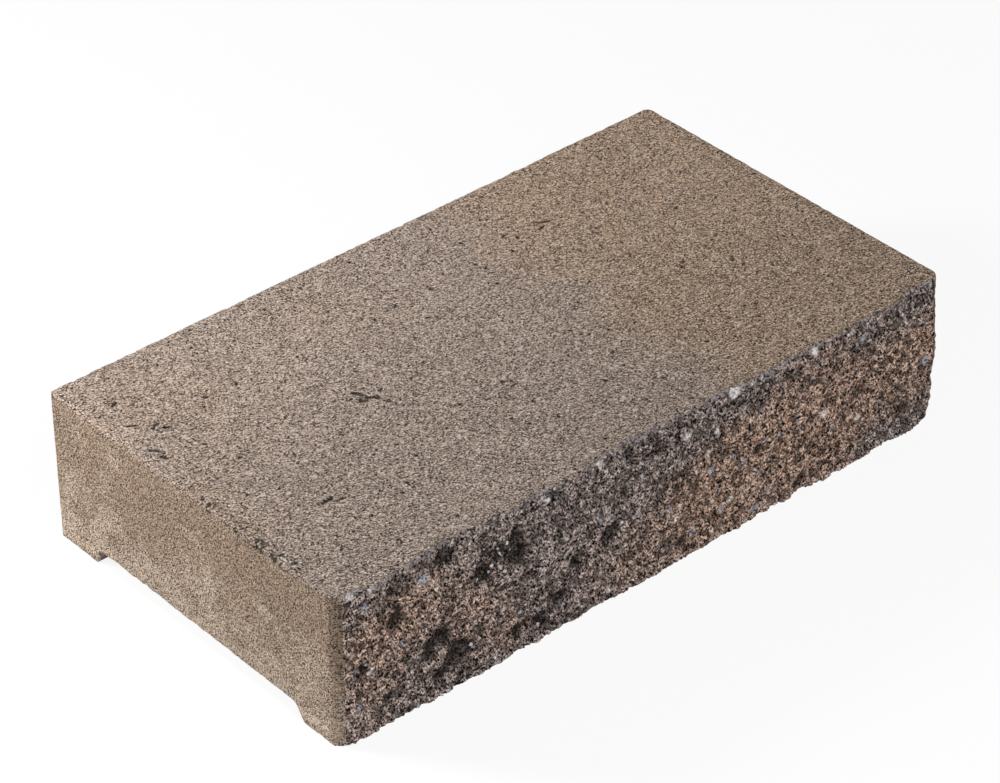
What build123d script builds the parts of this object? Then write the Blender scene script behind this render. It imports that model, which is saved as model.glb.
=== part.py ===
from build123d import *

import math
import os

# A coping block for a garden wall, cast in one piece and split along its front.
# Millimetres. X runs along the block, the broken face looks towards -Y, Z is up.
# The origin is under the middle of the block, on the floor that it rests on.

# Overall sizes. The depth reaches to the proudest lump of the broken face.
length = 457.0
depth = 254.0
height = 102.0

# Underside: a shallow channel from end to end between two feet.
rear_foot = 34.0
front_foot = 34.0
channel_rise = 10.3
rear_draft = 19.0
front_draft = 34.0
rear_roof_radius = 4.0
front_roof_radius = 5.0
front_foot_rounding = 4.0

# Moulded front corners: the ends turn in before they meet the break.
corner_radius = 8.0
corner_turn = 70.0
corner_setback = 4.5

# Worn edges.
top_arris = 1.0
rear_arris = 1.2

# The broken face: round scars and lumps on a nearly flat break.
break_step = 8.0
scar_reach = 8.0
scar_depth = 3.6
lump_height = 2.5
ripple_length = 37.0
ripple_depth = 0.35
break_stock = 6.0
overcut = 3.0

# Each scar: share of the length from the left end, share of the height, and reach and
# depth as multiples of the values above. Lumps are negative, as multiples of their height.
top_edge_scars = [
    (0.015, 0.98, 0.8, 0.75),
    (0.059, 1.00, 0.9, -1.12),
    (0.098, 1.00, 1.1, -0.35),
    (0.172, 0.97, 1.5, 0.80),
    (0.232, 1.00, 1.4, 0.35),
    (0.361, 0.99, 1.2, -0.65),
    (0.414, 1.00, 0.9, 0.75),
    (0.460, 0.96, 1.1, 1.45),
    (0.497, 0.97, 1.0, 1.00),
    (0.533, 0.97, 1.0, 0.50),
    (0.592, 0.97, 0.8, 1.05),
    (0.620, 0.96, 0.8, 0.40),
    (0.770, 1.00, 1.7, -0.35),
    (0.836, 1.00, 1.7, -0.40),
    (0.897, 1.00, 0.8, -0.75),
    (0.948, 0.96, 1.0, 1.60),
    (0.985, 0.92, 1.0, 0.60),
]
middle_scars = [
    (0.030, 0.80, 0.9, -0.30),
    (0.035, 0.44, 0.9, 0.75),
    (0.079, 0.56, 1.0, -0.45),
    (0.090, 0.70, 0.9, 0.80),
    (0.133, 0.77, 1.0, -0.45),
    (0.151, 0.39, 1.0, 1.00),
    (0.173, 0.60, 1.0, -0.60),
    (0.188, 0.21, 1.1, 1.25),
    (0.225, 0.66, 1.0, 0.85),
    (0.240, 0.40, 1.1, -0.55),
    (0.275, 0.68, 1.1, 0.95),
    (0.337, 0.62, 1.1, -0.55),
    (0.372, 0.38, 1.0, 0.75),
    (0.385, 0.86, 1.0, -0.40),
    (0.429, 0.46, 0.9, 1.05),
    (0.452, 0.68, 1.0, 0.60),
    (0.455, 0.35, 1.0, -0.45),
    (0.545, 0.49, 1.3, 0.50),
    (0.560, 0.70, 1.1, -0.50),
    (0.604, 0.85, 1.0, -0.50),
    (0.665, 0.30, 1.2, -0.40),
    (0.678, 0.47, 0.8, 0.75),
    (0.705, 0.57, 1.2, -0.40),
    (0.727, 0.84, 0.9, 0.60),
    (0.783, 0.22, 1.1, -0.45),
    (0.816, 0.65, 1.2, -0.50),
    (0.860, 0.35, 1.2, -0.40),
    (0.875, 0.84, 1.1, 0.50),
    (0.890, 0.62, 1.3, -0.50),
    (0.935, 0.18, 0.9, 0.60),
    (0.972, 0.46, 1.4, -0.75),
]
bottom_edge_scars = [
    (0.072, 0.06, 1.0, 0.75),
    (0.158, 0.12, 0.8, 0.85),
    (0.282, -0.02, 0.8, 1.05),
    (0.311, 0.13, 0.9, 0.80),
    (0.341, 0.20, 0.8, 0.75),
    (0.420, 0.02, 1.3, 0.50),
    (0.551, 0.11, 1.1, 0.45),
    (0.615, 0.02, 0.9, 0.35),
    (0.704, 0.02, 0.9, 0.75),
    (0.761, 0.03, 0.9, 1.20),
    (0.893, 0.05, 0.8, 0.95),
    (0.922, 0.07, 0.8, 0.70),
    (0.976, 0.03, 0.8, 0.55),
]
scars = top_edge_scars + middle_scars + bottom_edge_scars


def break_recess(along, up):
    """How far the break lies behind its mean plane, at distances from the left foot."""
    recess = ripple_depth * math.sin(2 * math.pi * along / ripple_length)
    recess *= math.cos(2 * math.pi * up / ripple_length)
    for share_along, share_up, reach, deep in scars:
        across = (along - share_along * length) / (reach * scar_reach)
        rise = (up - share_up * height) / (reach * scar_reach)
        size = scar_depth if deep > 0 else lump_height
        recess += deep * size * math.exp(-(across**2) - rise**2)
    return recess


def even_steps(size):
    """Places along a size, about a facet apart, with one more past each end."""
    count = math.ceil(size / break_step)
    return [-overcut] + [size * i / count for i in range(count + 1)] + [size + overcut]


def break_points():
    """Columns of points on the broken face, its proudest lump touching the overall depth."""
    alongs = even_steps(length)
    ups = even_steps(height)
    recesses = [
        [break_recess(min(max(along, 0), length), min(max(up, 0), height)) for up in ups]
        for along in alongs
    ]
    proudest = min(min(column) for column in recesses)
    return [
        [
            Vector(along - length / 2, -depth / 2 + recess - proudest, up)
            for up, recess in zip(ups, column)
        ]
        for along, column in zip(alongs, recesses)
    ]


def flat_face(*corners):
    return Face(Wire.make_polygon(corners, close=True))


def broken_off_stock():
    """What the split takes away: small flat facets at the back, a plain box in front of them."""
    points = break_points()
    facets = []
    for i, (left, right) in enumerate(zip(points, points[1:])):
        for j in range(len(left) - 1):
            corners = [left[j], right[j], right[j + 1], left[j + 1]]
            if (i + j) % 2:
                corners = corners[1:] + corners[:1]
            facets.append(flat_face(corners[0], corners[1], corners[3]))
            facets.append(flat_face(corners[1], corners[2], corners[3]))
    stock_front = -depth / 2 - 2 * break_stock
    bottom = [column[0] for column in points]
    top = [column[-1] for column in points]
    front = [
        Vector(end.X, stock_front, end.Z)
        for end in (points[0][0], points[-1][0], points[-1][-1], points[0][-1])
    ]
    sides = [
        flat_face(*front),
        flat_face(*bottom, front[1], front[0]),
        flat_face(*top, front[2], front[3]),
        flat_face(*points[0], front[3], front[0]),
        flat_face(*points[-1], front[2], front[1]),
    ]
    return Solid(Shell(facets + sides))


# Plan of the casting before it is split: square at the rear, turned in at the front.
turn = math.radians(corner_turn)
corner_centre = Vector(length / 2 - corner_radius, -depth / 2 + corner_setback + corner_radius * math.sin(turn))
neck = corner_centre + Vector(corner_radius * math.cos(turn), -corner_radius * math.sin(turn))
neck_run = corner_setback + break_stock
neck_end = neck - Vector(neck_run * math.tan(turn), neck_run)

# Section of the channel, seen along X. Its walls lean by their draft.
rear_wall = depth / 2 - rear_foot
front_wall = -depth / 2 + front_foot
rear_lean = math.tan(math.radians(rear_draft))
front_lean = math.tan(math.radians(front_draft))
channel_corners = [
    (rear_wall + overcut * rear_lean, -overcut),
    (rear_wall - channel_rise * rear_lean, channel_rise),
    (front_wall + channel_rise * front_lean, channel_rise),
    (front_wall - overcut * front_lean, -overcut),
]

broken_off = broken_off_stock()

with BuildPart() as cap_block:
    with BuildSketch():
        with BuildLine():
            Line((0, depth / 2), (length / 2, depth / 2))
            Line((length / 2, depth / 2), (length / 2, corner_centre.Y))
            CenterArc(corner_centre, corner_radius, 0, -corner_turn)
            Line(neck, neck_end)
            Line(neck_end, (0, neck_end.Y))
            mirror(about=Plane.YZ)
        make_face()
    extrude(amount=height)

    rear_corners = cap_block.edges().filter_by(Axis.Z).group_by(Axis.Y)[-1]
    fillet(rear_corners, radius=rear_arris)
    top_edges = cap_block.faces().sort_by(Axis.Z)[-1].edges()
    fillet(top_edges, radius=top_arris)

    with BuildSketch(Plane.YZ) as channel:
        with BuildLine():
            Polyline(*channel_corners, close=True)
        make_face()
        roof_corners = channel.vertices().group_by(Axis.Y)[-1].sort_by(Axis.X)
        fillet(roof_corners[0], radius=front_roof_radius)
        fillet(roof_corners[-1], radius=rear_roof_radius)
    extrude(amount=length / 2 + overcut, both=True, mode=Mode.SUBTRACT)

    underside_edges = cap_block.edges().filter_by(Axis.X).group_by(Axis.Z)[0]
    foot_edge = underside_edges.sort_by_distance((0, front_wall, 0))[0]
    fillet(foot_edge, radius=front_foot_rounding)

    add(broken_off, mode=Mode.SUBTRACT)

cap_block.part.label = "cap_block"

os.makedirs("parts", exist_ok=True)
export_step(cap_block.part, "parts/cap_block.step")
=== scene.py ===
import math

import bpy
import numpy as np
from mathutils import Matrix, Vector
from mathutils.bvhtree import BVHTree

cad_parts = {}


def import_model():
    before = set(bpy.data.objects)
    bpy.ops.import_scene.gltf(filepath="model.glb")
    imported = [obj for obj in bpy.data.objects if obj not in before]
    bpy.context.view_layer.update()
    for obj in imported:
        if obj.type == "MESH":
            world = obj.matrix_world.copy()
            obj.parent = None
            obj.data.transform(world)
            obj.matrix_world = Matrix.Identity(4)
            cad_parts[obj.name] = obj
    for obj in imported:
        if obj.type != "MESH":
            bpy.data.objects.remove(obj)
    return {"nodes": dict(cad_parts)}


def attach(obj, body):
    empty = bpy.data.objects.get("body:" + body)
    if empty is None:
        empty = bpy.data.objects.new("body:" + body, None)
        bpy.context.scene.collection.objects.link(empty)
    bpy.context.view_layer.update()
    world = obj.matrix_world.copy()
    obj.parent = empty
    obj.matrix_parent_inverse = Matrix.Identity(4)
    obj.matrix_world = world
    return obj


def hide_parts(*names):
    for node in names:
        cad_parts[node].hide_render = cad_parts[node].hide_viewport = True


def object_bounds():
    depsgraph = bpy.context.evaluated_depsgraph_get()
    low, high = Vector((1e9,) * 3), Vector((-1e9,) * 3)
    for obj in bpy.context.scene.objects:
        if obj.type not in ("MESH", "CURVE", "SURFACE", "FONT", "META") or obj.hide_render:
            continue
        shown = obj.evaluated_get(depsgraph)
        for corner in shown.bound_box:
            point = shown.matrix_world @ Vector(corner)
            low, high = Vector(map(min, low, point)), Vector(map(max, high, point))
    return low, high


# A split concrete wall cap: one closed mesh, worked up from the fixed frame's own solid.
# Shapes are worked out in millimetres and written to the mesh in metres.

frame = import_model()
cad_low, cad_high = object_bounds()
MM = 0.001
LEFT, REAR, TOP = cad_low.x / MM, cad_high.y / MM, cad_high.z / MM
RIGHT, FRONT = cad_high.x / MM, cad_low.y / MM

X, Y, Z = 0, 1, 2

# Size of the even cells, triangles kept, and how far inside each end the broken face stops.
cell = 0.85
triangle_budget = 192000
neck_inset = 5.3


# Repeatable noise

# Large odd numbers that scramble a seed and a cell's place, and the bits kept on the way.
seed_step, seed_start = 747796405, 2891336453
axis_steps = (374761393, 668265263, 2246822519)
scramble = np.uint64(1274126177)
low_bits, last_bits = np.uint64(0xFFFFFFFFFFFF), np.uint64(0xFFFFFF)


def hashed(cells, seed):
    """A repeatable random number from 0 to 1 for each whole-number cell."""
    value = np.full(cells.shape[:-1], seed * seed_step + seed_start, np.uint64)
    for axis, step in zip(range(cells.shape[-1]), axis_steps):
        value = value ^ (cells[..., axis].astype(np.int64).astype(np.uint64) * np.uint64(step))
        value = (value ^ (value >> np.uint64(29))) * scramble
        value = value & low_bits
    value = value ^ (value >> np.uint64(17))
    return (value & last_bits).astype(float) / float(last_bits)


def lumps(points, size, seed):
    """Smooth noise from -1 to 1 with lumps about one size across."""
    scaled = points / size
    base = np.floor(scaled)
    share = scaled - base
    share = share * share * (3 - 2 * share)
    total = np.zeros(len(points))
    for corner in np.ndindex(*([2] * points.shape[1])):
        weight = np.ones(len(points))
        for axis, side in enumerate(corner):
            weight *= share[:, axis] if side else 1 - share[:, axis]
        total += weight * hashed(base + np.array(corner), seed)
    return total * 2 - 1


def rough(points, size, seed, octaves=3, gain=0.5):
    """Several sizes of smooth noise, each half as large as the one before."""
    total = np.zeros(len(points))
    strength = 1.0
    for octave in range(octaves):
        total += strength * lumps(points, size / 2**octave, seed + octave)
        strength *= gain
    return total


def between(value, low, high):
    """0 below low, 1 above high, smooth in between."""
    share = np.clip((value - low) / (high - low), 0, 1)
    return share * share * (3 - 2 * share)


def spots(points, places):
    """Sum of round soft spots: each place is its coordinates, its radius and its strength."""
    total = np.zeros(len(points))
    for *place, radius, strength in places:
        away = np.sum((points - np.array(place)) ** 2, 1)
        total += strength * np.exp(-away / radius**2)
    return total


def dents(points, places):
    """Sum of long soft dents: middle, half length, half width, angle in degrees and depth."""
    total = np.zeros(len(points))
    for a, b, half_length, half_width, angle, depth in places:
        turn = math.radians(angle)
        along = (points[:, 0] - a) * math.cos(turn) + (points[:, 1] - b) * math.sin(turn)
        across = (points[:, 1] - b) * math.cos(turn) - (points[:, 0] - a) * math.sin(turn)
        total += depth * np.exp(-((along / half_length) ** 4) - (across / half_width) ** 2)
    return total


# The casting as an even mesh

def even_casting():
    """The frame's solid as one closed mesh of small even cells."""
    piece = bpy.data.objects.new("even_casting", frame["nodes"]["cap_block"].data.copy())
    bpy.context.scene.collection.objects.link(piece)
    remesh = piece.modifiers.new("even_cells", "REMESH")
    remesh.mode = "VOXEL"
    remesh.voxel_size = cell * MM
    mesh = bpy.data.meshes.new_from_object(piece.evaluated_get(bpy.context.evaluated_depsgraph_get()))
    bpy.data.objects.remove(piece)
    return mesh


def read_points(mesh):
    """The mesh's points, in millimetres."""
    points = np.empty(len(mesh.vertices) * 3)
    mesh.vertices.foreach_get("co", points)
    return points.reshape(-1, 3) / MM


def write_points(mesh, points):
    mesh.vertices.foreach_set("co", (points * MM).ravel())
    mesh.update()


class BreakSurface:
    """Where the frame's own broken face lies, as depths on an even grid."""

    def __init__(self):
        node = frame["nodes"]["cap_block"]
        tree = BVHTree.FromObject(node, bpy.context.evaluated_depsgraph_get())
        self.step = 2.0
        inset = 0.4
        self.side = RIGHT - neck_inset - inset
        self.xs = np.arange(-self.side, self.side + self.step, self.step)
        self.zs = np.arange(inset, TOP - inset, self.step)
        self.raw = np.array([[self.hit(tree, x, z) for z in self.zs] for x in self.xs])
        self.smooth = self.softened(self.raw, 3)

    def hit(self, tree, x, z):
        """How far back the broken face lies, found by a ray from 20 mm in front of it."""
        x = min(x, self.side)
        place = tree.ray_cast(Vector((x, FRONT - 20, z)) * MM, Vector((0, 1, 0)))[0]
        return place.y / MM

    def softened(self, field, rounds):
        """The same depths, each evened out with its neighbours a few times."""
        for _ in range(rounds):
            for axis in (0, 1):
                pad = [(1, 1) if i == axis else (0, 0) for i in (0, 1)]
                wide = np.pad(field, pad, mode="edge")
                before, after = (wide[:-2], wide[2:]) if axis == 0 else (wide[:, :-2], wide[:, 2:])
                field = 0.25 * before + 0.5 * field + 0.25 * after
        return field

    def read(self, field, x, z):
        """The depths at any places, in between those of the grid."""
        i = np.clip((x - self.xs[0]) / self.step, 0, len(self.xs) - 1.001)
        j = np.clip((z - self.zs[0]) / self.step, 0, len(self.zs) - 1.001)
        i0, j0 = i.astype(int), j.astype(int)
        a, b = i - i0, j - j0
        low = field[i0, j0] * (1 - b) + field[i0, j0 + 1] * b
        high = field[i0 + 1, j0] * (1 - b) + field[i0 + 1, j0 + 1] * b
        return low * (1 - a) + high * a


# The broken face

# Dark hollows of the break: distance from the left end, height, radius and depth.
hollows = [
    (85, 21, 6.5, 3.2),
    (70, 39, 6.0, 2.6),
    (72, 13, 4.5, 2.4),
    (62, 31, 4.0, 1.4),
    (196, 46, 5.0, 3.0),
    (102, 66, 6.0, 2.2),
    (125, 68, 6.5, 2.6),
    (112, 76, 4.5, 1.6),
    (41, 70, 5.5, 2.0),
    (16, 45, 4.5, 1.9),
    (22, 58, 3.5, 1.2),
    (142, 12, 5.0, 2.4),
    (156, 21, 4.5, 2.2),
    (35, 19, 5.0, 1.8),
    (38, 88, 4.5, 1.7),
    (75, 92, 5.5, 1.9),
    (126, 82, 5.0, 1.4),
    (170, 38, 4.5, 1.9),
    (206, 70, 5.0, 1.5),
    (154, 97, 4.5, 1.4),
    (211, 92, 5.0, 1.5),
    (231, 86, 4.5, 1.4),
    (247, 50, 5.0, 1.2),
    (252, 11, 5.0, 1.3),
    (287, 93, 4.0, 1.5),
    (310, 47, 3.6, 2.2),
    (332, 87, 4.6, 1.5),
    (344, 7, 5.0, 1.4),
    (398, 87, 5.0, 1.2),
    (414, 84, 4.0, 1.1),
    (427, 18, 4.5, 1.6),
    (452, 69, 4.0, 1.2),
    (57, 67, 3.5, 1.3),
    (101, 30, 4.0, 1.3),
    (125, 15, 4.6, 1.8),
    (101, 82, 3.6, 1.3),
]

# The share of each hollow that is deepened here, because the frame's own scars hold the rest.
hollow_share = 0.75

# White and blue-grey chips of stone in the break: distance from the left end, height and radius.
white_chips = [
    (10, 99, 2.4),
    (22, 100, 2.4),
    (23, 44, 1.9),
    (110, 4, 1.7),
    (114, 36, 1.9),
    (114, 66, 1.6),
    (143, 49, 1.4),
    (148, 94, 1.7),
    (185, 99, 2.4),
    (188, 23, 1.7),
    (195, 6, 2.3),
    (244, 33, 1.9),
    (251, 87, 2.1),
    (268, 67, 1.7),
    (274, 79, 2.1),
    (288, 99, 3.6),
    (288, 24, 1.7),
    (301, 99, 2.1),
    (309, 100, 1.8),
    (322, 28, 1.4),
    (351, 98, 3.1),
    (361, 49, 2.7),
    (389, 33, 2.1),
]
blue_chips = [
    (13, 23, 2.1),
    (15, 46, 1.8),
    (19, 89, 2.2),
    (43, 52, 2.1),
    (59, 86, 3.2),
    (141, 22, 1.8),
    (187, 62, 2.1),
    (194, 59, 1.8),
    (214, 50, 2.1),
    (241, 42, 1.8),
    (258, 15, 2.4),
    (270, 54, 2.1),
    (280, 21, 2.4),
    (288, 54, 1.8),
    (297, 47, 1.8),
    (308, 33, 2.1),
    (309, 7, 2.7),
    (393, 88, 3.8),
    (423, 4, 2.2),
    (439, 77, 1.5),
    (445, 48, 2.1),
]


def stones(points, size, seed):
    """A plane packed with stones: how far in from its border each point is, its stone's centre and cell."""
    base = np.floor(points / size)
    nearest = np.full(len(points), 1e9)
    second = np.full(len(points), 1e9)
    centre = np.zeros_like(points)
    owner = np.zeros_like(points)
    for step in np.ndindex(3, 3):
        cells = base + np.array(step) - 1
        place = np.stack([hashed(cells, seed), hashed(cells, seed + 1)], 1)
        place = (cells + place) * size
        away = np.hypot(*(points - place).T)
        closer = away < nearest
        second = np.where(closer, nearest, np.minimum(second, away))
        nearest = np.where(closer, away, nearest)
        centre = np.where(closer[:, None], place, centre)
        owner = np.where(closer[:, None], cells, owner)
    return (second - nearest) / size, centre, owner


def packed(flat, size, seed, step, tilt, gap):
    """Stones of one size: each stands at its own height and tilt, with a rounded gap round it."""
    inward, centre, owner = stones(flat, size, seed)
    depth = step * (2 * hashed(owner, seed + 5) - 1)
    lean = tilt * (2 * np.stack([hashed(owner, seed + 6), hashed(owner, seed + 7)], 1) - 1)
    depth += np.sum(lean * (flat - centre), 1)
    return depth + gap * (1 - between(inward, 0, 0.45))


def bent(flat, reach, size, seed):
    """The same places shifted about a little, so that nothing drawn on them is straight or round."""
    return flat + reach * np.stack([rough(flat, size, seed), rough(flat, size, seed + 5)], 1)


# Stones of the break: size, seed, difference in height, tilt, and depth of the gaps round them.
large_stones = (9.0, 31, 0.50, 0.14, 0.45)
middle_stones = (4.6, 41, 0.50, 0.16, 0.55)
little_stones = (2.6, 51, 0.36, 0.16, 0.45)

# About the mean depth of all that relief, taken off so that the break stays where the frame has it.
relief_mean = 0.55


def small_stones(flat):
    """How far the smaller stones and grains of the break lie behind its surface."""
    depth = packed(bent(flat, 1.1, 5.0, 11), *middle_stones)
    depth += packed(bent(flat, 0.5, 2.5, 13), *little_stones)
    return depth + 0.15 * rough(flat, 1.8, 61, octaves=1)


def break_relief(x, z):
    """How far the break lies behind its smooth surface: waves, stones of three sizes, and hollows."""
    flat = np.stack([x, z], 1)
    depth = 0.4 * rough(flat, 24.0, 21, octaves=2)
    depth += packed(bent(flat, 1.1, 5.0, 11), *large_stones)
    depth += small_stones(flat)
    from_left = np.stack([x - LEFT, z], 1)
    return depth - relief_mean + hollow_share * spots(bent(from_left, 1.2, 4.0, 71), hollows)


# Wear of the moulded faces

# Cracks and dents of the struck top: x, y, half length, half width, angle and depth.
top_dents = [
    (-100.4, 11.0, 5.0, 1.2, -58, 2.0),
    (-96.5, 3.0, 4.0, 1.1, -38, 1.8),
    (-93.0, -4.5, 3.4, 1.1, -66, 1.7),
    (-102.5, 4.0, 3.0, 1.0, -20, 1.4),
    (-89.0, 6.0, 2.6, 1.0, 10, 1.3),
    (-209.0, 94.0, 3.6, 1.1, 25, 1.6),
    (-213.5, 70.5, 4.0, 1.1, -40, 1.7),
    (-204.0, 62.0, 4.5, 1.0, 30, 1.4),
    (-199.5, 57.0, 3.2, 1.1, -20, 1.6),
    (-218.5, 44.0, 4.5, 1.2, -50, 1.8),
    (-217.8, 35.0, 3.5, 1.1, -75, 1.7),
    (93.8, 73.5, 5.0, 1.2, -25, 1.9),
    (88.0, 70.0, 3.0, 1.1, 12, 1.4),
    (-175.6, -53.1, 5.0, 1.1, 12, 1.7),
    (-170.0, -57.0, 3.0, 1.0, -30, 1.4),
    (-30.0, -40.0, 2.6, 1.0, 20, 1.2),
    (30.0, 20.0, 2.8, 1.0, -15, 1.1),
    (150.0, -30.0, 3.0, 1.0, 35, 1.2),
]

# Crumbs lost along the top left edge: y, radius and depth.
left_crumbs = [
    (-16, 4, 2.2),
    (-40, 5, 2.4),
    (-59, 6, 3.2),
    (-73, 4, 2.6),
    (-87, 4, 2.2),
]

# The channel's roof, and where its crumbled edge starts and ends along each end of the block.
channel_roof = 10.3
channel_front, channel_rear = -80.0, 84.0

# How far behind the break, and below the top, their relief has faded out.
break_fade = 11.0
top_fade = 12.0

# Where the break bulges past the moulded neck at its right end: height, half height and strength.
right_bulges = [
    (52, 24, 1.0),
    (18, 12, 0.5),
]


def rounded(points, a, a_face, a_in, b, b_face, b_in, radius):
    """The edge between two square faces rounded off in place, by a radius for each point."""
    deep_a = (points[:, a] - a_face) * a_in
    deep_b = (points[:, b] - b_face) * b_in
    off_a, off_b = radius - deep_a, radius - deep_b
    away = np.hypot(off_a, off_b)
    cut = (off_a > 0) & (off_b > 0) & (away > radius)
    shrink = np.where(cut, radius / np.maximum(away, 1e-6), 1)
    points[:, a] = np.where(cut, a_face + a_in * (radius - off_a * shrink), points[:, a])
    points[:, b] = np.where(cut, b_face + b_in * (radius - off_b * shrink), points[:, b])


def worn_edges(points):
    """Edges of the moulded faces rounded and crumbled in place, most of all along the top left one."""
    _, y, z = points.T.copy()
    crumbs = 0.7 * lumps(points, 4.5, 101) + 0.5 * lumps(points, 2.0, 102)
    least, most = 0.4, 9.0

    # The top's edges, the left one worn away more towards its rear
    crumbled = between(y, 8, 30) * (1 - between(y, REAR - 30, REAR - 12))
    loss = 4.0 * np.exp(-(((y - (REAR - 60)) / 48) ** 4))
    loss += spots(y[:, None], left_crumbs)
    rounded(points, X, LEFT, 1, Z, TOP, -1, np.clip(1.4 + loss + crumbs * (1 + crumbled), least, most))
    rounded(points, X, RIGHT, -1, Z, TOP, -1, np.clip(1.4 + crumbs, least, most))
    rounded(points, Y, REAR, -1, Z, TOP, -1, np.clip(1.6 + 1.6 * crumbs, least, most))

    # The upright rear edges, rounder towards the top
    corner = 5.0 * between(z, TOP - 12, TOP)
    rounded(points, X, RIGHT, -1, Y, REAR, -1, np.clip(1.8 + corner + crumbs, 0.6, most))
    rounded(points, X, LEFT, 1, Y, REAR, -1, np.clip(1.4 + 0.2 * corner + 0.6 * crumbs, 0.6, most))

    # The bottom edges, and the channel's roof where it comes out at each end
    over_channel = between(y, channel_front, channel_front + 6)
    over_channel *= 1 - between(y, channel_rear - 6, channel_rear)
    over_channel *= z > channel_roof - 1
    chipped = np.clip(1.6 + 2.2 * crumbs + 1.2 * lumps(points, 9.0, 103), least, 5.0)
    underneath = np.clip(1.3 + 1.7 * crumbs, least, most)
    for face, inward in ((LEFT, 1), (RIGHT, -1)):
        rounded(points, X, face, inward, Z, 0, 1, underneath)
        rounded(points, X, face, inward, Z, channel_roof, 1, over_channel * chipped)
    rounded(points, Y, REAR, -1, Z, 0, 1, underneath)


def top_wear(plan):
    """How far pits and cracks reach down into the struck top."""
    loose = bent(plan, 0.8, 3.0, 95)
    _, middle, owner = stones(plan, 9.0, 91)
    chance = hashed(owner, 97)
    away = np.hypot(*(loose - middle).T)
    pits = np.where(chance > 0.94, (0.5 + chance) * np.exp(-((away / (0.4 + chance)) ** 2)), 0)
    return pits + dents(loose, top_dents)


def displaced(points, surface):
    """Every point of the casting moved by the wear and the break."""
    x, y, z = points.T
    moved = points.copy()

    # The break, fading out behind it and at the moulded necks
    behind = y - surface.read(surface.raw, x, z)
    fade = np.clip(1 - behind / break_fade, 0, 1)
    neck = RIGHT - neck_inset + 0.9 * rough(np.stack([x, z], 1), 6.0, 81, octaves=2)
    inside = between(neck - np.abs(x), 0.2, 2.4)
    soft = surface.read(surface.smooth, x, z) - surface.read(surface.raw, x, z)
    moved[:, Y] += (soft + break_relief(x, z)) * fade * inside

    # The break bulges outwards past the moulded neck at its right end, where it is rough too
    lip = spots(z[:, None], right_bulges)
    near_end = spots(x[:, None], [(RIGHT - 4, 6, 1.0)]) * fade
    ragged = 0.5 * lumps(points, 3.2, 85) + 0.35 * lumps(points, 1.7, 86)
    torn = near_end * between(TOP - z, 3, 12) * ragged
    moved[:, X] += 1.7 * lip * near_end + torn
    moved[:, Y] -= 2.4 * lip * near_end + torn

    # The struck top: a gentle unevenness, small pits and a few cracks
    plan = np.stack([x, y], 1)
    below = np.clip(1 - (TOP - z) / top_fade, 0, 1)
    uneven = 0.18 * rough(plan, 26.0, 93, octaves=2)
    moved[:, Z] += below * (uneven - top_wear(plan))

    worn_edges(moved)
    return moved


# Zones: which material each face of the even mesh takes
MOULDED, BROKEN = 0, 1


def zone_of_faces(mesh, surface):
    """The zone of each face: broken where it lies on the break and looks forwards."""
    count = len(mesh.polygons)
    centres = np.empty(count * 3)
    normals = np.empty(count * 3)
    mesh.polygons.foreach_get("center", centres)
    mesh.polygons.foreach_get("normal", normals)
    x, y, z = centres.reshape(-1, 3).T / MM
    normals = normals.reshape(-1, 3)
    zones = np.full(count, MOULDED)
    behind = y - surface.read(surface.raw, x, z)
    on_break = (behind < 0.9) & (np.abs(x) < RIGHT - neck_inset) & (normals[:, Y] < -0.3)
    zones[on_break] = BROKEN
    return zones


def lighter(mesh, triangles):
    """The mesh with its flat stretches thinned out, down to about that many triangles."""
    piece = bpy.data.objects.new("lighter", mesh)
    bpy.context.scene.collection.objects.link(piece)
    thin = piece.modifiers.new("thin", "DECIMATE")
    thin.ratio = min(1.0, triangles / (2 * len(mesh.polygons)))
    thin.use_collapse_triangulate = True
    result = bpy.data.meshes.new_from_object(piece.evaluated_get(bpy.context.evaluated_depsgraph_get()))
    bpy.data.objects.remove(piece)
    return result


# Tints that follow the place on the block, kept on the mesh's points from 0 to 1

# The top turns warm and tan to the right of this x, and fades from grey to tan over this width.
warm_start = 62.0
warm_fade = 80.0

# Smaller warm areas of the top: x, y, radius and strength.
warm_places = [
    (-190, 70, 55, 0.45),
    (-215, -30, 35, 0.45),
    (-60, 100, 40, 0.25),
]

# Brown areas of the break: distance from the left end, height, radius and strength.
brown_places = [
    (18, 60, 22, 0.7),
    (22, 25, 20, 0.5),
    (55, 70, 24, 0.8),
    (95, 45, 22, 0.6),
    (118, 20, 16, 0.5),
    (205, 20, 22, 0.5),
    (260, 22, 36, 0.9),
    (290, 50, 34, 0.9),
    (340, 40, 48, 1.0),
    (400, 50, 48, 1.0),
    (445, 50, 36, 0.9),
]

# Where grey covers the brown again, along the break's top and bottom edges.
grey_places = [
    (262, 97, 22, 1.0),
    (300, 101, 14, 0.9),
    (412, 98, 26, 1.0),
    (445, 94, 18, 0.7),
    (415, 4, 28, 0.8),
    (452, 16, 14, 0.5),
]


def chips(points, places):
    """1 inside the chips and 0 outside."""
    share = np.zeros(len(points))
    for *place, radius in places:
        away = np.hypot(*(points - np.array(place)).T)
        share = np.maximum(share, 1 - between(away, radius * 0.75, radius * 1.1))
    return share


def keep_tint(mesh, name, values):
    """One tint written to the mesh's points under a name that the materials read."""
    layer = mesh.attributes.new(name, "FLOAT", "POINT")
    layer.data.foreach_set("value", np.clip(values, 0, 1).astype(np.float32))


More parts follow.
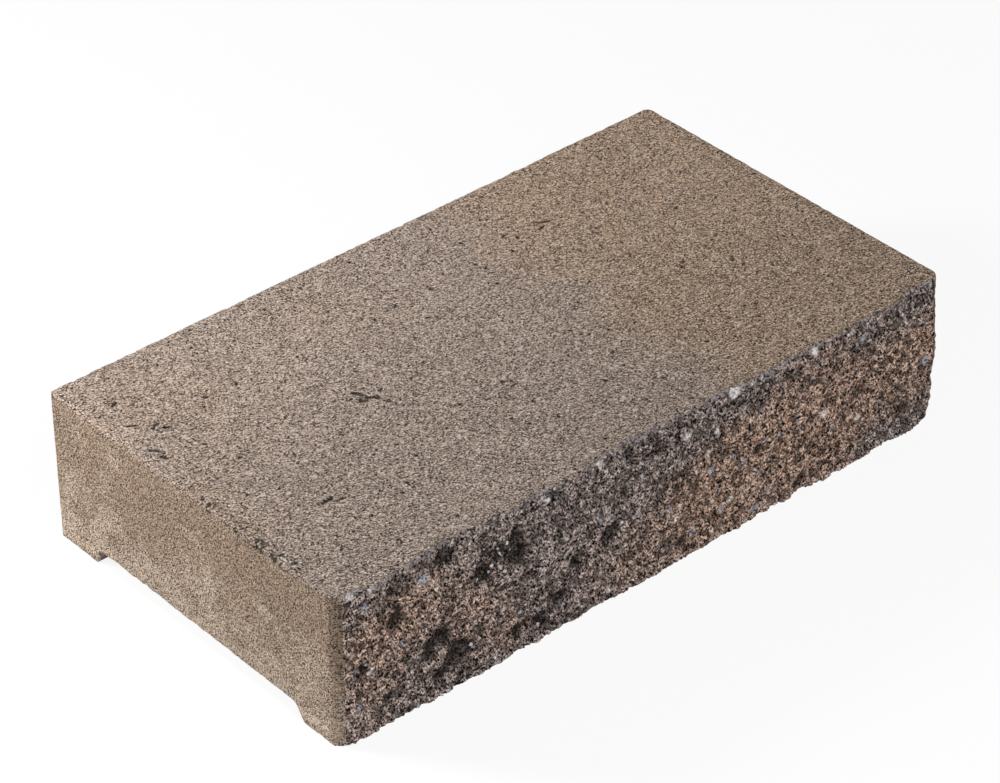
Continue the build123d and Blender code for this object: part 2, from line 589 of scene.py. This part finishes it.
def keep_tints(mesh):
    """All the tints of the top, of its left edge and of the break, painted shade among them."""
    points = read_points(mesh)
    x, y, z = points.T
    plan = np.stack([x, y], 1)
    from_left = np.stack([x - LEFT, z], 1)
    loose = bent(plan, 20.0, 50.0, 111)
    warm = between(loose[:, 0], warm_start - warm_fade / 2, warm_start + warm_fade / 2)
    keep_tint(mesh, "warm", warm + spots(loose, warm_places))
    # Painted shade for the top's pits and cracks, darker where they are deeper
    keep_tint(mesh, "crack_shade", 0.75 * top_wear(plan))
    keep_tint(mesh, "crumb", spots(y[:, None], left_crumbs) / 3)
    loose = bent(from_left, 5.0, 14.0, 121)
    keep_tint(mesh, "brown", np.minimum(spots(loose, brown_places), 1) - spots(loose, grey_places))
    # Painted shade in the break's hollows, spread a little wider than them and raised 1 mm towards where
    # their upper lips cast shadow
    wider = [(along, up + 1, 1.25 * radius, depth / 2.2) for along, up, radius, depth in hollows]
    keep_tint(mesh, "hollow_shade", spots(bent(from_left, 1.8, 5.0, 71), wider))
    # Painted shade where the small stones of the break lie deep
    keep_tint(mesh, "deep_shade", between(small_stones(np.stack([x, z], 1)), -0.6, 1.5))
    loose = bent(from_left, 1.3, 2.6, 131)
    keep_tint(mesh, "white_chip", chips(loose, white_chips))
    keep_tint(mesh, "blue_chip", chips(loose, blue_chips))


def cap_block_piece():
    """The finished block: the even casting worn and broken, thinned out, and tinted."""
    mesh = even_casting()
    mesh.materials.clear()
    for recipe in (cast_faces, broken_front):
        mesh.materials.append(recipe())
    points = read_points(mesh)
    surface = BreakSurface()
    zones = zone_of_faces(mesh, surface)
    write_points(mesh, displaced(points, surface))
    mesh.polygons.foreach_set("material_index", zones.astype(np.int32))
    mesh = lighter(mesh, triangle_budget)
    keep_tints(mesh)
    mesh.name = "cap_block_finished"
    mesh.shade_smooth()
    piece = bpy.data.objects.new("cap_block_finished", mesh)
    bpy.context.scene.collection.objects.link(piece)
    return piece


# Node trees

class Graph:
    """A node tree: each method adds a node and gives back its output."""

    def __init__(self, tree):
        self.tree = tree

    def add(self, kind, **settings):
        node = self.tree.nodes.new(kind)
        for name, value in settings.items():
            setattr(node, name, value)
        return node

    def feed(self, socket, value):
        if isinstance(value, bpy.types.NodeSocket):
            self.tree.links.new(value, socket)
        else:
            socket.default_value = value

    def maths(self, operation, *values):
        node = self.add("ShaderNodeMath", operation=operation)
        for socket, value in zip(node.inputs, values):
            self.feed(socket, value)
        return node.outputs[0]

    def vector(self, operation, *values, scale=None):
        node = self.add("ShaderNodeVectorMath", operation=operation)
        for socket, value in zip(node.inputs, values):
            self.feed(socket, value)
        if scale is not None:
            node.inputs["Scale"].default_value = scale
        return node.outputs[0]

    def plainly_seen(self):
        """1 for rays that show what lies behind the object, 0 for the light that falls on it."""
        path = self.add("ShaderNodeLightPath")
        mirrored = self.maths("MAXIMUM", path.outputs["Is Glossy Ray"], path.outputs["Is Transmission Ray"])
        return self.maths("MAXIMUM", path.outputs["Is Camera Ray"], mirrored)


class Recipe(Graph):
    """One material, with its places in millimetres."""

    def __init__(self, name):
        self.material = bpy.data.materials.new(name)
        self.material.use_nodes = True
        super().__init__(self.material.node_tree)
        self.shader = self.tree.nodes["Principled BSDF"]
        self.place = self.vector("SCALE", self.add("ShaderNodeTexCoord").outputs["Object"], scale=1 / MM)

    def noise(self, size, detail, roughness=0.5):
        """Smooth noise from 0 to 1, with more finer layers for a higher detail."""
        node = self.add("ShaderNodeTexNoise")
        self.feed(node.inputs["Vector"], self.place)
        node.inputs["Scale"].default_value = 1 / size
        node.inputs["Detail"].default_value = detail
        node.inputs["Roughness"].default_value = roughness
        return node.outputs["Fac"]

    def grains(self, size, place=None):
        """Two random values for each grain, and the distance from the grain's middle."""
        node = self.add("ShaderNodeTexVoronoi")
        self.feed(node.inputs["Vector"], place or self.place)
        node.inputs["Scale"].default_value = 1 / size
        parts = self.add("ShaderNodeSeparateColor")
        self.tree.links.new(node.outputs["Color"], parts.inputs[0])
        return parts.outputs[0], parts.outputs[1], node.outputs["Distance"]

    def ramp(self, value, low, high, start=0.0, end=1.0):
        """Start below low, end above high, smooth in between."""
        node = self.add("ShaderNodeMapRange", interpolation_type="SMOOTHSTEP")
        names = ("Value", "From Min", "From Max", "To Min", "To Max")
        for name, number in zip(names, (value, low, high, start, end)):
            self.feed(node.inputs[name], number)
        return node.outputs[0]

    def falling(self, value, low, high):
        """1 below low, 0 above high, smooth in between."""
        return self.ramp(value, low, high, 1.0, 0.0)

    def times(self, first, second):
        return self.maths("MULTIPLY", first, second)

    def mix(self, share, first, second):
        """The first colour where the share is 0, the second where it is 1."""
        node = self.add("ShaderNodeMix", data_type="RGBA")
        colours = [socket for socket in node.inputs if socket.type == "RGBA"]
        self.feed(node.inputs["Factor"], share)
        for socket, colour in zip(colours, (first, second)):
            self.feed(socket, colour)
        return next(socket for socket in node.outputs if socket.type == "RGBA")

    def places(self):
        """The block's x, y and z, in millimetres."""
        parts = self.add("ShaderNodeSeparateXYZ")
        self.feed(parts.inputs[0], self.place)
        return parts.outputs

    def speckle(self, value, power, share):
        """Brightness that averages 1: a higher power makes fewer, brighter grains, share the contrast."""
        grain = self.maths("MULTIPLY_ADD", self.maths("POWER", value, power), power + 1, -1.0)
        return self.maths("MULTIPLY_ADD", grain, share, 1.0)

    def lit_and_shaded_sand(self, size, place, share):
        """Brightness of fine grains with painted light on one side of each and painted shade on the other,
        and the grains' own values.
        """
        aside = 0.8 * size
        darkest = 0.02
        value, _, _ = self.grains(size, place)
        beside, _, _ = self.grains(size, self.vector("ADD", place, (aside, aside, aside)))
        # Each grain less its neighbour a little aside: painted light on one side and painted shade on the
        # other
        level = self.maths("MULTIPLY_ADD", self.maths("SUBTRACT", value, beside), share, 1.0)
        return self.maths("MAXIMUM", level, darkest), value

    def mix_numbers(self, share, first, second):
        """The first number where the share is 0, the second where it is 1."""
        change = self.maths("SUBTRACT", second, first)
        return self.maths("MULTIPLY_ADD", change, share, first)

    def tint(self, name):
        return self.add("ShaderNodeAttribute", attribute_name=name).outputs["Fac"]

    def brighten(self, colour, amount):
        """The colour times an amount that differs from place to place."""
        three = self.add("ShaderNodeCombineXYZ")
        for socket in three.inputs:
            self.feed(socket, amount)
        if isinstance(colour, tuple):
            colour = colour[:3]
        return self.vector("MULTIPLY", colour, three.outputs[0])

    def darken(self, colour, share, strength):
        return self.brighten(colour, self.maths("MULTIPLY_ADD", share, -strength, 1.0))

    def total(self, *terms):
        """Sum of value times weight over the terms."""
        result = 0.0
        for value, weight in terms:
            result = self.maths("MULTIPLY_ADD", value, weight, result)
        return result

    def finish(self, colour, height, roughness=0.92, gloss=0.2):
        """Colour and surface relief, with the relief in millimetres."""
        self.feed(self.shader.inputs["Base Color"], colour)
        self.shader.inputs["Roughness"].default_value = roughness
        self.shader.inputs["Specular IOR Level"].default_value = gloss
        bump = self.add("ShaderNodeBump")
        bump.inputs["Distance"].default_value = MM
        self.feed(bump.inputs["Height"], height)
        self.tree.links.new(bump.outputs[0], self.shader.inputs["Normal"])
        return self.material


def shade(red, green, blue):
    """A colour written as it looks on screen, from 0 to 255."""
    return (*(((value / 255 + 0.055) / 1.055) ** 2.4 for value in (red, green, blue)), 1.0)


# Materials

# Sizes of the grains, pits and stones that each material is made of.
cast_grain, pit_size, hole_size = 0.55, 1.25, 2.7
break_grain, middle_grain, coarse_grain, stone_size = 0.62, 0.95, 1.7, 3.6


def cast_faces():
    """The moulded faces: a sandy, pitted top and smoother browner sides with a pale film low down; painted
    light and shade on the grains, painted shade in pits, cracks and front corners.
    """
    own = Recipe("cast_faces")
    x, y, z = own.places()
    ragged = own.total((z, 1.0), (own.noise(5.0, 3.0), 2.8), (1.0, -1.4))
    top = own.ramp(ragged, TOP - 3.2, TOP - 1.4)
    film = own.total((own.noise(22.0, 4.0, 0.6), 3.8), (z, -0.013), (1.0, -0.90))
    film = own.ramp(film, 0.0, 1.0)
    side = own.mix(film, shade(161, 138, 117), shade(189, 168, 149))
    struck = own.mix(own.tint("warm"), shade(151, 134, 122), shade(154, 131, 111))
    struck = own.brighten(struck, own.ramp(own.noise(18.0, 3.0), 0.3, 0.7, 0.95, 1.05))
    # Painted light falloff: the top made brighter towards the rear and darker towards the front
    struck = own.brighten(struck, own.ramp(y, FRONT, REAR, 0.87, 1.17))
    colour = own.mix(top, side, struck)

    # Fine grain, a little drawn out along the block, and stronger on the top, with painted light and
    # painted shade on the sides of each grain and painted highlights on the brightest
    drawn_out = own.vector("MULTIPLY", own.place, (0.7, 1.0, 1.0))
    contrast = own.maths("MULTIPLY_ADD", top, 0.35, 1.45)
    level, fine_value = own.lit_and_shaded_sand(cast_grain, drawn_out, contrast)
    colour = own.brighten(colour, level)
    colour = own.mix(own.ramp(level, 1.3, 2.3, 0.0, 0.5), colour, shade(214, 205, 194))

    # Sharp pits darkened with painted shade, fewer on the top and under the film, and the pale grains of
    # the top
    pit_value, pit_other, pit_away = own.grains(pit_size, drawn_out)
    middle = own.falling(pit_away, 0.26, 0.44)
    bare = own.maths("MULTIPLY_ADD", film, -0.40, 0.60)
    density = own.mix_numbers(top, bare, 0.22)
    pit = own.times(own.falling(own.maths("SUBTRACT", pit_value, density), -0.01, 0.01), middle)
    colour = own.darken(colour, pit, 0.9)
    speck = own.times(own.ramp(pit_other, 0.90, 0.91), own.times(middle, top))
    colour = own.mix(speck, colour, shade(226, 216, 203))

    # Larger holes darkened with painted shade, and pale stones of the top
    large_value, large_other, large_away = own.grains(hole_size, drawn_out)
    hole = own.times(own.falling(large_value, 0.02, 0.03), own.falling(large_away, 0.20, 0.36))
    hole = own.times(hole, top)
    colour = own.darken(colour, hole, 0.85)
    stone = own.times(own.ramp(large_other, 0.972, 0.978), own.ramp(large_away, 0.25, 0.55, 0.8, 0.0))
    colour = own.mix(own.times(stone, top), colour, shade(200, 191, 182))

    # Painted shade in the top's cracks, crumbs lost along its left edge, and painted shade on the front
    # corners
    crack = own.times(own.ramp(own.tint("crack_shade"), 0.25, 0.75), top)
    colour = own.darken(colour, crack, 0.85)
    inward = own.maths("ABSOLUTE", own.maths("SUBTRACT", x, LEFT + 1))
    from_edge = own.maths("ADD", inward, own.maths("SUBTRACT", TOP, z))
    broken_off = own.total((own.noise(2.6, 3.0, 0.6), 1.0), (own.tint("crumb"), 0.20))
    crumb = own.times(own.falling(from_edge, 3.0, 7.0), own.ramp(broken_off, 0.62, 0.70))
    colour = own.darken(colour, crumb, 0.8)
    # Painted shade on the rounded front corners of the sides, stronger towards the top
    corner = own.times(own.falling(y, FRONT + 4, FRONT + 13), own.ramp(z, 20, TOP, 0.55, 1.0))
    corner = own.times(corner, own.maths("SUBTRACT", 1.0, top))
    colour = own.darken(colour, corner, 0.5)
    relief = own.total((fine_value, 0.26), (pit, -0.5), (hole, -0.8), (crumb, -0.6))
    return own.finish(colour, relief)


def broken_front():
    """The break: dark grey matrix that turns brown in places, with grey, blue-grey and white stone, and
    painted shade in its gaps and hollows.
    """
    own = Recipe("broken_front")
    upright = own.vector("MULTIPLY", own.place, (1.0, 1.0, 0.7))
    colour = own.mix(own.tint("brown"), shade(203, 179, 171), shade(252, 202, 171))
    # Grains with painted light and painted shade on their sides, times their own random tone, and painted
    # highlights on the brightest
    level, fine_value = own.lit_and_shaded_sand(break_grain, upright, 2.3)
    grain_value, _, _ = own.grains(middle_grain, upright)
    coarse_value, coarse_other, coarse_away = own.grains(coarse_grain, upright)
    level = own.times(level, own.speckle(grain_value, 1.5, 0.8))
    level = own.times(level, own.speckle(coarse_value, 1.0, 0.35))
    colour = own.brighten(colour, level)
    colour = own.mix(own.ramp(level, 0.7, 2.0, 0.0, 0.85), colour, shade(220, 209, 201))
    # Painted shade where the small stones lie deep
    colour = own.darken(colour, own.ramp(own.tint("deep_shade"), 0.1, 0.9), 0.74)
    # Painted shade in small sunken holes among the coarse grains
    gap = own.times(own.falling(coarse_other, 0.20, 0.22), own.falling(coarse_away, 0.35, 0.55))
    colour = own.darken(colour, gap, 0.95)
    # Painted shade in the hollows of the break
    colour = own.darken(colour, own.ramp(own.tint("hollow_shade"), 0.08, 0.75), 0.84)

    # The bruised top edge, where the grains are crushed pale
    _, _, z = own.places()
    bruised = own.total((z, 1.0), (own.noise(6.0, 3.0), 6.0), (1.0, -3.0))
    bruised = own.times(own.ramp(bruised, TOP - 4.5, TOP), own.ramp(grain_value, 0.2, 0.7))
    colour = own.mix(own.times(bruised, 0.6), colour, shade(188, 180, 184))

    # Blue-grey and white stone, with less grain than the matrix
    stone_value, stone_other, stone_away = own.grains(stone_size)
    inside = own.falling(stone_away, 0.26, 0.42)
    blue = own.times(own.ramp(stone_value, 0.96, 0.965), inside)
    blue = own.maths("MAXIMUM", blue, own.tint("blue_chip"))
    blue_grey = own.brighten(shade(172, 173, 184), own.speckle(grain_value, 1.0, 0.7))
    colour = own.mix(blue, colour, blue_grey)
    white = own.times(own.ramp(stone_other, 0.975, 0.98), inside)
    white = own.maths("MAXIMUM", white, own.tint("white_chip"))
    off_white = own.brighten(shade(238, 233, 232), own.speckle(grain_value, 1.0, 0.55))
    colour = own.mix(white, colour, off_white)
    relief = own.total((fine_value, 0.6), (grain_value, 0.6), (coarse_value, 0.6), (gap, -1.0))
    return own.finish(colour, relief, roughness=0.9, gloss=0.1)


piece = cap_block_piece()
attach(piece, "root")
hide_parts("cap_block")


# Stage, in metres: a white floor and surroundings, where only the object's soft shadow shows

# The floor's reach and paint, how far its shadow is paled, and the light of the surroundings.
floor_reach = 30.0
floor_paint = 0.55
shadow_softness = 0.88
ambient = 0.25

# Lamps, all turned to the middle of the block: name, place, size and power.
lamp_aim = (0, 0, 0.05)
lamps = [
    ("key", (-0.8, 0.75, 0.65), 0.3, 13.5),
    ("front", (-0.5, -1.9, 1.9), 0.4, 37),
]


def floor():
    """The floor: white where it is seen, and painted grey for the light that it throws back."""
    mesh = bpy.data.meshes.new("floor")
    corners = [(-floor_reach, -floor_reach, 0), (floor_reach, -floor_reach, 0)]
    corners += [(floor_reach, floor_reach, 0), (-floor_reach, floor_reach, 0)]
    mesh.from_pydata(corners, [], [(0, 1, 2, 3)])
    ground = bpy.data.objects.new("floor", mesh)
    bpy.context.scene.collection.objects.link(ground)
    own = Recipe("pale_floor")
    own.tree.nodes.clear()
    seen = own.plainly_seen()
    paint = own.add("ShaderNodeBsdfDiffuse")
    own.feed(paint.inputs["Color"], own.maths("MULTIPLY_ADD", seen, 1 - floor_paint, floor_paint))
    glow = own.add("ShaderNodeEmission")
    paled = own.add("ShaderNodeMixShader")
    own.feed(paled.inputs["Fac"], own.maths("MULTIPLY", seen, shadow_softness))
    own.feed(paled.inputs[1], paint.outputs[0])
    own.feed(paled.inputs[2], glow.outputs[0])
    own.feed(own.add("ShaderNodeOutputMaterial").inputs["Surface"], paled.outputs[0])
    mesh.materials.append(own.material)


def world():
    """Surroundings that look white and give off only a weak light."""
    sky = bpy.data.worlds.new("studio")
    bpy.context.scene.world = sky
    sky.use_nodes = True
    own = Graph(sky.node_tree)
    own.tree.nodes.clear()
    level = own.add("ShaderNodeMapRange")
    own.feed(level.inputs["Value"], own.plainly_seen())
    level.inputs["To Min"].default_value = ambient
    level.inputs["To Max"].default_value = 1.0
    light = own.add("ShaderNodeBackground")
    own.feed(light.inputs["Strength"], level.outputs[0])
    own.feed(own.add("ShaderNodeOutputWorld").inputs["Surface"], light.outputs[0])


def lamp(name, place, size, power):
    data = bpy.data.lights.new(name, "AREA")
    data.shape = "DISK"
    data.size = size
    data.energy = power
    light = bpy.data.objects.new(name, data)
    light.location = place
    light.rotation_euler = (Vector(lamp_aim) - Vector(place)).to_track_quat("-Z", "Y").to_euler()
    bpy.context.scene.collection.objects.link(light)


# Camera, fitted to the photograph's corners and edges
camera_azimuth = math.radians(-41.27)
camera_elevation = math.radians(35.64)
camera_roll = math.radians(0.15)
camera_distance = 2.239
camera_right = -0.0036
camera_up = 0.0491
camera_rear = 0.0013
camera_lens = 137.80


def camera():
    back = Vector((
        math.sin(camera_azimuth) * math.cos(camera_elevation),
        -math.cos(camera_azimuth) * math.cos(camera_elevation),
        math.sin(camera_elevation),
    ))
    level = Vector((math.cos(camera_azimuth), math.sin(camera_azimuth), 0))
    upward = back.cross(level)
    right = math.cos(camera_roll) * level - math.sin(camera_roll) * upward
    up = math.sin(camera_roll) * level + math.cos(camera_roll) * upward
    data = bpy.data.cameras.new("camera")
    data.sensor_width = 36.0
    data.lens = camera_lens
    eye = bpy.data.objects.new("camera", data)
    place = right * camera_right + up * camera_up + back * camera_distance + Vector((0, camera_rear, 0))
    turn = Matrix((right, up, back)).transposed().to_4x4()
    eye.matrix_world = Matrix.Translation(place) @ turn
    bpy.context.scene.collection.objects.link(eye)
    bpy.context.scene.camera = eye


bpy.context.scene.view_settings.view_transform = "Standard"
floor()
world()
for settings in lamps:
    lamp(*settings)
camera()
